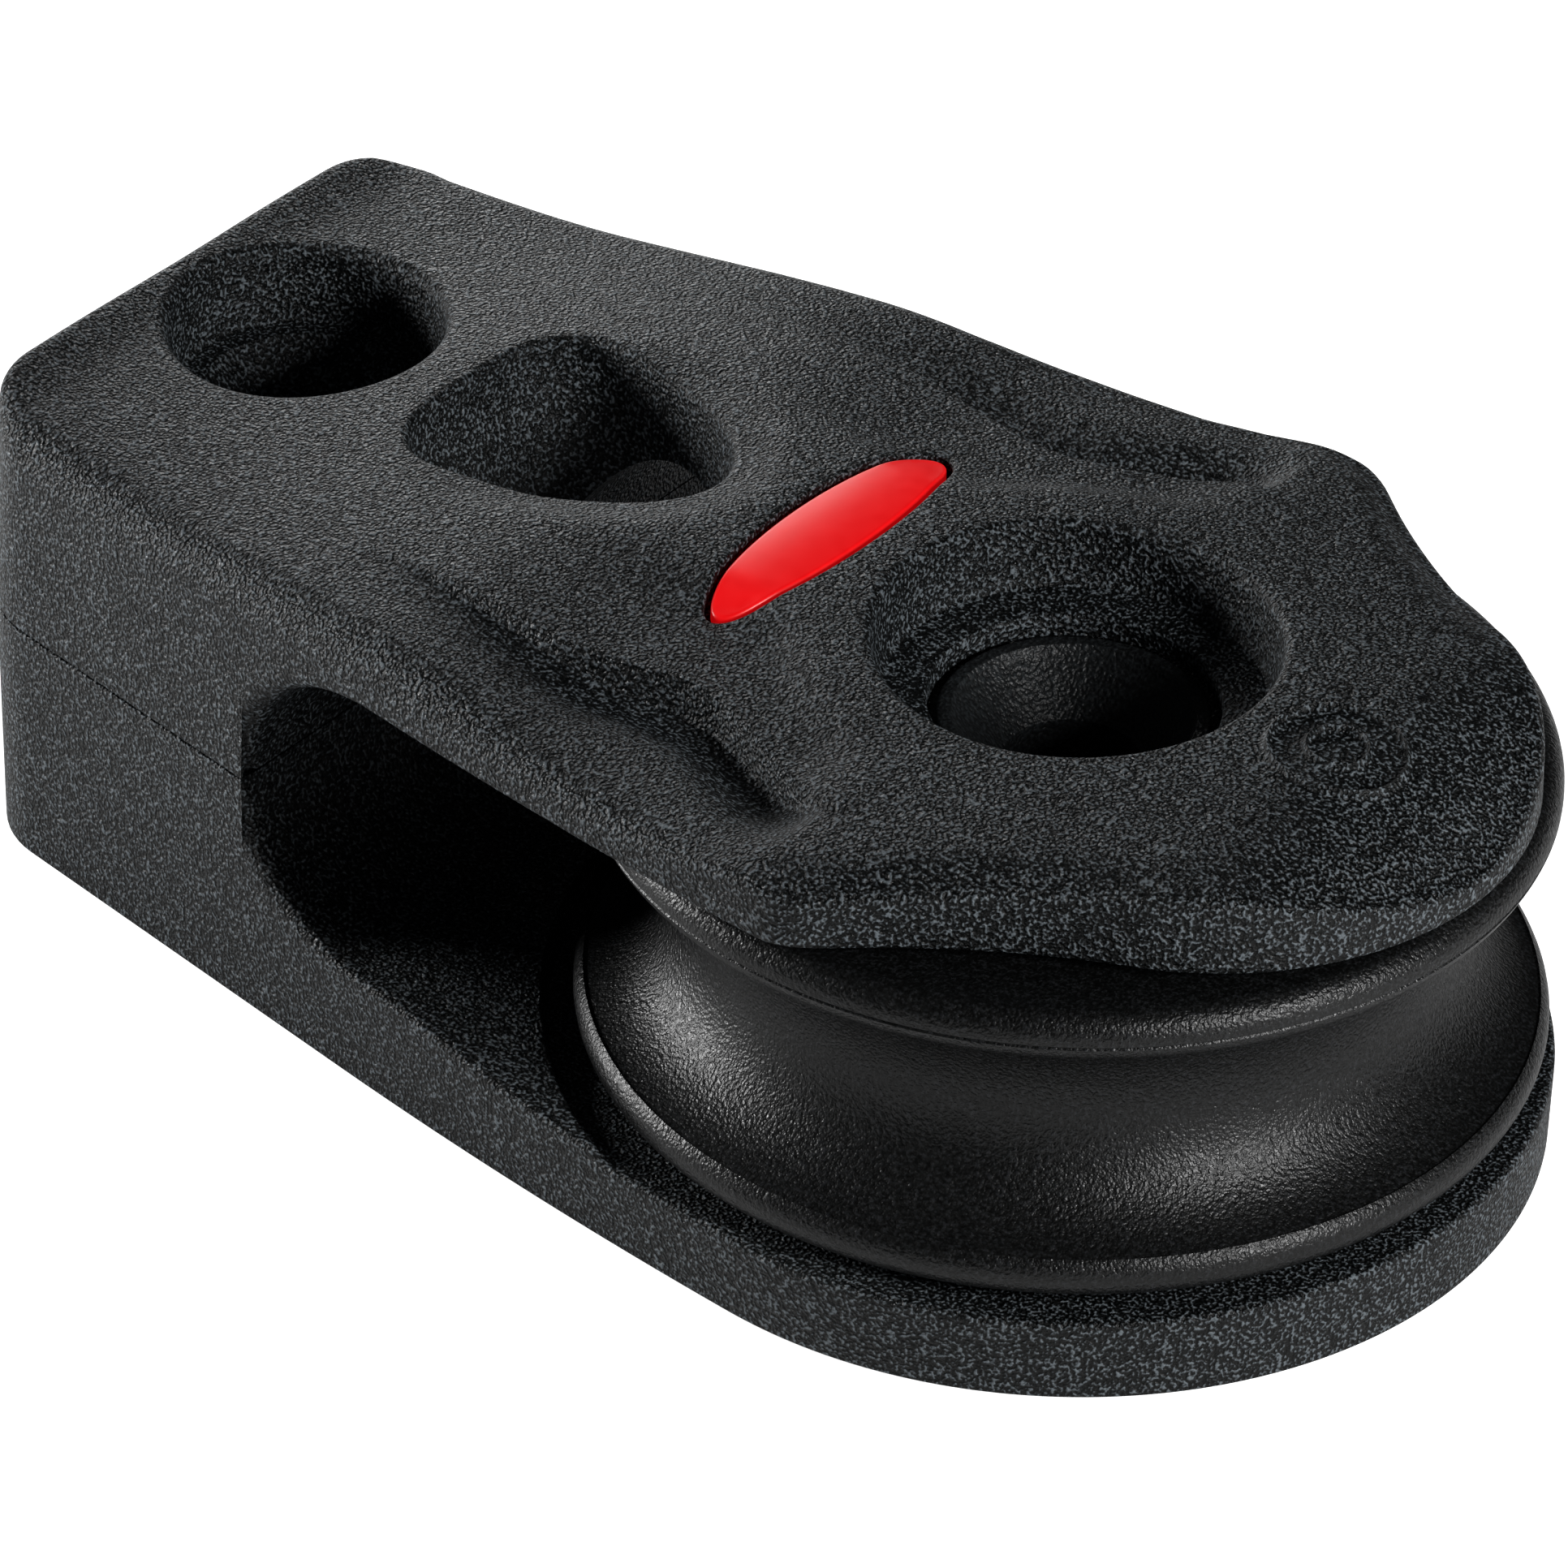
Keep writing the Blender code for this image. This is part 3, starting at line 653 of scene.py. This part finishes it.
def makeSheave():
    w = wheel
    mid = (w["lowFlange"] + w["highFlange"]) / 2
    topEdge, lowEdge = w["highZ"] - w["highFlange"], w["lowFlange"] - w["lowZ"]
    half = w["highFlange"] - mid - topEdge * w["grooveTuck"]
    depth = w["radius"] - w["grooveInset"] - w["groove"]
    radius = (half ** 2 + depth ** 2) / (2 * depth)
    swing = math.asin(half / radius)
    top = w["highRadius"]
    outer = []
    # upper flange, from its top face round the rim
    for a in np.radians(np.linspace(90, 8, 9)):
        outer.append((top - topEdge + topEdge * math.cos(a), w["highFlange"] + topEdge * math.sin(a)))
    # fine parting line left by the mould, just below the rim's widest place
    outer += [(top, w["highFlange"] - 0.06), (top - w["mouldLine"], w["highFlange"] - 0.12),
              (top - 0.01, w["highFlange"] - 0.18)]
    for a in np.radians(np.linspace(-22, -50, 4)):
        outer.append((top - topEdge + topEdge * math.cos(a), w["highFlange"] + topEdge * math.sin(a)))
    for a in np.linspace(math.pi - swing, math.pi + swing, 40):
        lean = 1 - w["grooveLean"] * max(math.cos(a - math.pi + swing), 0) ** 6 * (a < math.pi)
        outer.append((w["groove"] + (radius + radius * math.cos(a)) * lean, mid + radius * math.sin(a)))
    for a in np.radians(np.linspace(50, -90, 14)):
        outer.append((w["radius"] - lowEdge + lowEdge * math.cos(a), w["lowFlange"] + lowEdge * math.sin(a)))
    low, high = w["lowZ"], w["highZ"]
    g, b, inner = w["guardRadius"], w["bore"], w["land"]
    corners = [(r, z, 0) for r, z in outer]
    corners += [(g, low, 0.15), (g, low + w["guardStep"], 0), (b, low + w["guardStep"], 0.1),
                (b, land["low"], 0.2), (inner, land["lowTop"], 0.2), (inner, land["highTop"], 0.2),
                (b, land["high"], 0.2), (b, high - w["guardStep"], 0.1), (g, high - w["guardStep"], 0),
                (g, high, 0.15)]
    return lathe("sheave_wheel", roundedProfile(corners, 3), 256)


hub = {"hole": 2.1, "holeZ": 12.5, "head": 3.42, "headZ": 13.78, "neck": 4.16, "race": 5.8, "raceLow": 3.08,
       "raceHigh": 13.7, "land": 6.6}


def makeHub():
    low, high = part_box("hub")
    foot, top = low.z * 1000, high.z * 1000
    h = hub
    corners = [(h["hole"], foot, 0.1), (h["hole"], h["holeZ"], 0.08), (h["head"], h["headZ"], 0.08),
               (h["head"] + 0.12, h["headZ"] + 0.12, 0.05), (h["head"] + 0.3, top, 0.06),
               (h["neck"], top, 0.12), (h["neck"], h["raceHigh"], 0), (h["race"], h["raceHigh"], 0.1),
               (h["race"], land["high"], 0.3), (h["land"], land["highTop"], 0.2),
               (h["land"], land["lowTop"], 0.2), (h["race"], land["low"], 0.3),
               (h["race"], h["raceLow"], 0.1), (h["neck"], h["raceLow"], 0), (h["neck"], foot, 0.1)]
    return lathe("hub_inner_race", roundedProfile(corners, 4), 128)


guard = {"inner": 6.2, "outer": 9.6, "edge": 0.1}


def makeGuard(node, name):
    low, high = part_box(node)
    z0, z1 = low.z * 1000, high.z * 1000
    inner, outer, edge = guard["inner"], guard["outer"], guard["edge"]
    corners = [(inner, z0, edge), (inner, z1, edge), (outer, z1, edge), (outer, z0, edge)]
    return lathe(name, roundedProfile(corners, 3), 128)


def makeBadge():
    # thin domed plate: the top follows the cover, with a rounded rim
    solid = Solid("badge_plate")
    outer = badgeLoop()
    base = coverHeight(outer[:, 0], outer[:, 1]) - badge["deep"] + badge["glue"]

    def dome(x, y):
        u = 1 - ((x - badge["x"]) / (badge["width"] / 2)) ** 2 - (y / (badge["length"] / 2)) ** 2
        return coverHeight(x, y) + badge["proud"] + badge["dome"] * np.clip(u, 0, 1)

    rings = lipRings(lambda d: badgeLoop(-d), badge["rim"], dome, 5)
    foot = level(outer, base)
    solid.strip([*rings, foot])
    fill = clearOf(gridFill((-12, -7), (-6, 7), fillStep["badge"]), rings[0][:, :2], [], 0.08)
    solid.sheet(dome, rings[0][:, :2], fill=[fill])
    solid.sheet(lambda x, y: coverHeight(x, y) - badge["deep"] + badge["glue"], outer,
                fill=[clearOf(gridFill((-12, -7), (-6, 7), fillStep["badgeBack"]), outer, [], 0.2)])
    return solid.build()


def linear(code):
    # sRGB hex to linear RGBA
    parts = [int(code[i:i + 2], 16) / 255 for i in (1, 3, 5)]
    return (*[c / 12.92 if c <= 0.04045 else ((c + 0.055) / 1.055) ** 2.4 for c in parts], 1)


def addNode(tree, kind, links=None, **settings):
    # adds a node; settings name its properties or inputs, links join its inputs
    node = tree.nodes.new(kind)
    for key, value in settings.items():
        if hasattr(node, key):
            setattr(node, key, value)
        else:
            node.inputs[key.replace("_", " ")].default_value = value
    for key, socket in (links or {}).items():
        tree.links.new(socket, node.inputs[key])
    return node


def perMetre(millimetres):
    # a pattern's scale from the size of one grain
    return 1000 / millimetres


def ramp(tree, fac, stops):
    # a colour ramp from (place, colour) stops
    node = addNode(tree, "ShaderNodeValToRGB", {"Fac": fac})
    elements = node.color_ramp.elements
    while len(elements) < len(stops):
        elements.new(0.5)
    for element, (place, colour) in zip(elements, stops):
        element.position = place
        element.color = colour if isinstance(colour, tuple) else linear(colour)
    return node


grainStops = (0.38, 0.53, 0.70)  # where the dark, middle and light grains sit in the noise


def plasticMaterial(name, spec):
    mat = bpy.data.materials.new(name)
    mat.use_nodes = True
    tree = mat.node_tree
    shader = tree.nodes["Principled BSDF"]
    coords = addNode(tree, "ShaderNodeTexCoord").outputs["Object"]
    grain = addNode(tree, "ShaderNodeTexNoise", {"Vector": coords}, Scale=perMetre(spec["grainMm"]),
                    Detail=spec["grainDetail"], Roughness=0.6)
    cloud = addNode(tree, "ShaderNodeTexNoise", {"Vector": coords}, Scale=perMetre(spec["cloudMm"]),
                    Detail=2.0, Roughness=0.5)
    speck = addNode(tree, "ShaderNodeTexNoise", {"Vector": coords}, Scale=perMetre(spec["speckMm"]),
                    Detail=1.0)
    # colour: dark and light grains, and a slow drift over the moulding
    tones = [spec[k] for k in ("dark", "mid", "light")]
    grains = ramp(tree, grain.outputs["Fac"], list(zip(grainStops, tones)))
    drift = addNode(tree, "ShaderNodeMix", {6: grains.outputs["Color"]}, data_type="RGBA",
                    blend_type="MULTIPLY")
    tone = ramp(tree, cloud.outputs["Fac"], [(0.3, (0.86, 0.86, 0.87, 1)), (0.7, (1.06, 1.06, 1.05, 1))])
    drift.inputs[0].default_value = 1.0
    tree.links.new(tone.outputs["Color"], drift.inputs[7])
    tree.links.new(drift.outputs[2], shader.inputs["Base Color"])
    # roughness: polished grain tops between rougher pits
    rough = addNode(tree, "ShaderNodeMapRange", {"Value": speck.outputs["Fac"]}, From_Min=0.3, From_Max=0.7,
                    To_Min=spec["rough"][0], To_Max=spec["rough"][1])
    tree.links.new(rough.outputs["Result"], shader.inputs["Roughness"])
    fine = addNode(tree, "ShaderNodeBump", {"Height": grain.outputs["Fac"]}, Strength=spec["bump"],
                   Distance=spec["bumpMm"] / 1000)
    broad = addNode(tree, "ShaderNodeBump",
                    {"Height": cloud.outputs["Fac"], "Normal": fine.outputs["Normal"]},
                    Strength=0.25, Distance=spec["cloudBumpMm"] / 1000)
    tree.links.new(broad.outputs["Normal"], shader.inputs["Normal"])
    shader.inputs["IOR"].default_value = spec["ior"]
    shader.inputs["Specular IOR Level"].default_value = spec["specular"]
    return mat


# glass-filled nylon, moulded in a spark-eroded tool: a fine even grain that scatters the light,
# so it reads as a soft charcoal with tiny lit grains instead of a gloss
nylonSpec = {"grainMm": 0.115, "grainDetail": 0.6, "cloudMm": 6.0, "speckMm": 0.11, "dark": "#020303",
             "mid": "#0a0c0d", "light": "#61686d", "rough": (0.32, 0.7), "bump": 1.0, "bumpMm": 0.13,
             "cloudBumpMm": 0.03, "ior": 1.53, "specular": 0.2}
# black acetal, moulded in a blasted tool and run in: a satin black with a faint orange peel
acetalSpec = {"grainMm": 0.12, "grainDetail": 1.0, "cloudMm": 3.0, "speckMm": 0.15, "dark": "#050505",
              "mid": "#0b0c0c", "light": "#1d1e20", "rough": (0.30, 0.46), "bump": 1.0, "bumpMm": 0.045,
              "cloudBumpMm": 0.02, "ior": 1.48, "specular": 0.32}
# hub: the same nylon from a smoother tool, so its grains differ less
hubSpec = dict(nylonSpec, grainMm=0.12, dark="#111213", mid="#191b1c", light="#232628", rough=(0.36, 0.5),
               bump=0.6)
# natural acetal balls: off-white and polished, barely mottled
ballSpec = dict(acetalSpec, dark="#d6d2c8", mid="#dedbd2", light="#e6e4dc", rough=(0.16, 0.26), bump=0.1)


def badgeMaterial():
    # stove enamel on the oval badge: saturated red under a clear coat, with a faint orange peel
    mat = bpy.data.materials.new("redEnamelPaintedGlow")
    mat.use_nodes = True
    tree = mat.node_tree
    shader = tree.nodes["Principled BSDF"]
    coords = addNode(tree, "ShaderNodeTexCoord").outputs["Object"]
    peel = addNode(tree, "ShaderNodeTexNoise", {"Vector": coords}, Scale=perMetre(0.5), Detail=2.0)
    tint = ramp(tree, peel.outputs["Fac"], [(0.3, "#dd0c10"), (0.7, "#ec1014")])
    tree.links.new(tint.outputs["Color"], shader.inputs["Base Color"])
    rough = addNode(tree, "ShaderNodeMapRange", {"Value": peel.outputs["Fac"]}, To_Min=0.28, To_Max=0.4)
    tree.links.new(rough.outputs["Result"], shader.inputs["Roughness"])
    bump = addNode(tree, "ShaderNodeBump", {"Height": peel.outputs["Fac"]}, Strength=0.15, Distance=0.00002)
    tree.links.new(bump.outputs["Normal"], shader.inputs["Normal"])
    # painted light: an emission glow, which the real enamel does not have, keeps the red bright under the
    # weak lights
    shader.inputs["Emission Color"].default_value = linear("#e60a10")
    shader.inputs["Emission Strength"].default_value = 0.4
    return mat


def dress(obj, mat):
    obj.data.materials.clear()
    obj.data.materials.append(mat)
    return obj


def upBy(tree, height):
    # a vector straight up from a height socket
    return addNode(tree, "ShaderNodeCombineXYZ", {"Z": height}).outputs["Vector"]


def makeBalls(mat):
    # both rows of balls from one geometry nodes tree: a ball on each point of two circles
    tree = bpy.data.node_groups.new("ballTrain", "GeometryNodeTree")
    sockets = {}
    for label, kind, value in (("Balls", "NodeSocketInt", 15),
                               ("Pitch Radius", "NodeSocketFloat", 0.0075),
                               ("Ball Radius", "NodeSocketFloat", 0.0014),
                               ("Low Row", "NodeSocketFloat", 0.0062),
                               ("Row Spacing", "NodeSocketFloat", 0.0046)):
        item = tree.interface.new_socket(label, in_out="INPUT", socket_type=kind)
        item.default_value = value
        sockets[label] = item.identifier
    material = tree.interface.new_socket("Material", in_out="INPUT", socket_type="NodeSocketMaterial")
    tree.interface.new_socket("Geometry", in_out="OUTPUT", socket_type="NodeSocketGeometry")
    source = addNode(tree, "NodeGroupInput").outputs
    circle = addNode(tree, "GeometryNodeMeshCircle",
                     {"Vertices": source["Balls"], "Radius": source["Pitch Radius"]})
    rows = addNode(tree, "GeometryNodeMeshLine", {"Start Location": upBy(tree, source["Low Row"]),
                                                  "Offset": upBy(tree, source["Row Spacing"])}, Count=2)
    rings = addNode(tree, "GeometryNodeInstanceOnPoints",
                    {"Points": rows.outputs["Mesh"], "Instance": circle.outputs["Mesh"]})
    points = addNode(tree, "GeometryNodeRealizeInstances", {"Geometry": rings.outputs["Instances"]})
    ball = addNode(tree, "GeometryNodeMeshUVSphere", {"Radius": source["Ball Radius"]}, Segments=20, Rings=12)
    balls = addNode(tree, "GeometryNodeInstanceOnPoints",
                    {"Points": points.outputs["Geometry"], "Instance": ball.outputs["Mesh"]})
    real = addNode(tree, "GeometryNodeRealizeInstances", {"Geometry": balls.outputs["Instances"]})
    smoothed = addNode(tree, "GeometryNodeSetShadeSmooth", {0: real.outputs["Geometry"]})
    painted = addNode(tree, "GeometryNodeSetMaterial",
                      {"Geometry": smoothed.outputs[0], "Material": source["Material"]})
    addNode(tree, "NodeGroupOutput", {"Geometry": painted.outputs["Geometry"]})

    first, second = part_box("lower_ball_01"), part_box("upper_ball_01")
    lowRow, highRow = (first[0].z + first[1].z) / 2, (second[0].z + second[1].z) / 2
    holder = bpy.data.objects.new("ballTrainHolder", bpy.data.meshes.new("ballTrainHolder"))
    bpy.context.scene.collection.objects.link(holder)
    modifier = holder.modifiers.new("balls", "NODES")
    modifier.node_group = tree
    modifier[sockets["Pitch Radius"]] = (first[0].x + first[1].x) / 2 - axle.x
    modifier[sockets["Ball Radius"]] = (first[1].z - first[0].z) / 2
    modifier[sockets["Low Row"]] = lowRow
    modifier[sockets["Row Spacing"]] = highRow - lowRow
    modifier[material.identifier] = mat
    evaluated = holder.evaluated_get(bpy.context.evaluated_depsgraph_get())
    mesh = bpy.data.meshes.new_from_object(evaluated)
    bpy.data.objects.remove(holder)
    mesh.transform(Matrix.Translation((axle.x, 0, 0)))
    balls = bpy.data.objects.new("bearing_balls", mesh)
    bpy.context.scene.collection.objects.link(balls)
    return balls


def makePieces():
    nylon = plasticMaterial("glassFilledNylon", nylonSpec)
    acetal = plasticMaterial("blackAcetal", acetalSpec)
    hubNylon = plasticMaterial("hubNylon", hubSpec)
    ballAcetal = plasticMaterial("ballAcetal", ballSpec)
    enamel = badgeMaterial()
    pieces = [
        (makeUpperCheek(), nylon, "frame", "cheek_nylon", ["upper_cheek"]),
        (makeLowerCheek(), nylon, "frame", "cheek_nylon", ["lower_cheek"]),
        (makeHub(), hubNylon, "frame", "hub_nylon", ["hub"]),
        (makeGuard("lower_ball_guard", "guard_ring_lower"), acetal, "frame", "guard_acetal",
         ["lower_ball_guard"]),
        (makeGuard("upper_ball_guard", "guard_ring_upper"), acetal, "frame", "guard_acetal",
         ["upper_ball_guard"]),
        (makeBadge(), enamel, "frame", "badge_enamel", ["badge"]),
        (makeSheave(), acetal, "sheave", "sheave_acetal", ["sheave"]),
        (makeBalls(ballAcetal), ballAcetal, "ball_train", "ball_acetal",
         [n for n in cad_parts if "_ball_" in n and "guard" not in n]),
    ]
    for obj, mat, body, slot, nodes in pieces:
        dress(obj, mat)
        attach(obj, body)
        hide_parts(*nodes)
    print("pieces:", len(pieces))


view = {"azimuth": 37.10, "elevation": 34.82, "roll": 1.53, "distance": 282.0, "lens": 209.4,
        "aim": (-9.77, -1.46, 8.0)}
studio = {"world": 0.02, "floor": "#f4f4f4", "glow": 0.9, "bounce": 0.12}


def makeCamera():
    az, el, roll = (math.radians(view[k]) for k in ("azimuth", "elevation", "roll"))
    forward = Vector((-math.sin(az) * math.cos(el), math.cos(az) * math.cos(el), -math.sin(el)))
    right = Vector((math.cos(az), math.sin(az), 0))
    up = right.cross(forward)
    rolledRight = right * math.cos(roll) + up * math.sin(roll)
    rolledUp = up * math.cos(roll) - right * math.sin(roll)
    turned = Matrix((rolledRight, rolledUp, -forward)).transposed()
    camera = bpy.data.objects.new("camera", bpy.data.cameras.new("camera"))
    camera.data.lens = view["lens"]
    camera.data.sensor_width = 36
    camera.data.clip_start = 0.01
    camera.data.clip_end = 10
    aim = Vector((axle.x + view["aim"][0] / 1000, view["aim"][1] / 1000, view["aim"][2] / 1000))
    camera.matrix_world = Matrix.Translation(aim - forward * view["distance"] / 1000) @ turned.to_4x4()
    bpy.context.scene.collection.objects.link(camera)
    bpy.context.scene.camera = camera


# key low at the left behind, a fill from the left and a strip at the right, in metres and watts
lights = {
    "keyBox": {"place": (-0.085, 0.065, 0.036), "size": (0.05, 0.05), "watts": 0.040,
               "aim": (-0.024, 0, 0.01)},
    "leftFill": {"place": (-0.17, -0.06, 0.045), "size": (0.05, 0.05), "watts": 0.34,
                 "aim": (-0.015, 0, 0.008)},
    "rightStrip": {"place": (0.18, -0.02, 0.095), "size": (0.03, 0.06), "watts": 0.38,
                   "aim": (0, 0, 0.008)},
}


def softBox(name, place, size, watts, aim):
    light = bpy.data.lights.new(name, "AREA")
    light.shape = "RECTANGLE"
    light.size, light.size_y = size
    light.energy = watts
    obj = bpy.data.objects.new(name, light)
    obj.location = place
    obj.rotation_euler = (Vector(aim) - Vector(place)).to_track_quat("-Z", "Y").to_euler()
    bpy.context.scene.collection.objects.link(obj)


def makeStudio():
    world = bpy.data.worlds.new("studio")
    world.use_nodes = True
    world.node_tree.nodes["Background"].inputs["Color"].default_value = (1, 1, 1, 1)
    world.node_tree.nodes["Background"].inputs["Strength"].default_value = studio["world"]
    bpy.context.scene.world = world
    bm = bmesh.new()
    bmesh.ops.create_grid(bm, x_segments=1, y_segments=1, size=2.5)
    mesh = bpy.data.meshes.new("floor")
    bm.to_mesh(mesh)
    bm.free()
    floor = bpy.data.objects.new("floor", mesh)
    floor.location.z = -0.00002
    bpy.context.scene.collection.objects.link(floor)
    mat = bpy.data.materials.new("paperSweep")
    mat.use_nodes = True
    shader = mat.node_tree.nodes["Principled BSDF"]
    shader.inputs["Base Color"].default_value = linear(studio["floor"])
    shader.inputs["Roughness"].default_value = 0.9
    # a light table: white to the eye, but throwing little light up at the block
    shader.inputs["Emission Color"].default_value = (1, 1, 1, 1)
    tree = mat.node_tree
    seen = addNode(tree, "ShaderNodeLightPath").outputs["Is Camera Ray"]
    glow = addNode(tree, "ShaderNodeMapRange", {"Value": seen},
                   To_Min=studio["bounce"], To_Max=studio["glow"])
    tree.links.new(glow.outputs["Result"], shader.inputs["Emission Strength"])
    mesh.materials.append(mat)
    for name, light in lights.items():
        softBox(name, **light)
    bpy.context.scene.view_settings.view_transform = "Standard"


makeCamera()
makeStudio()
print("stage ready")
makePieces()
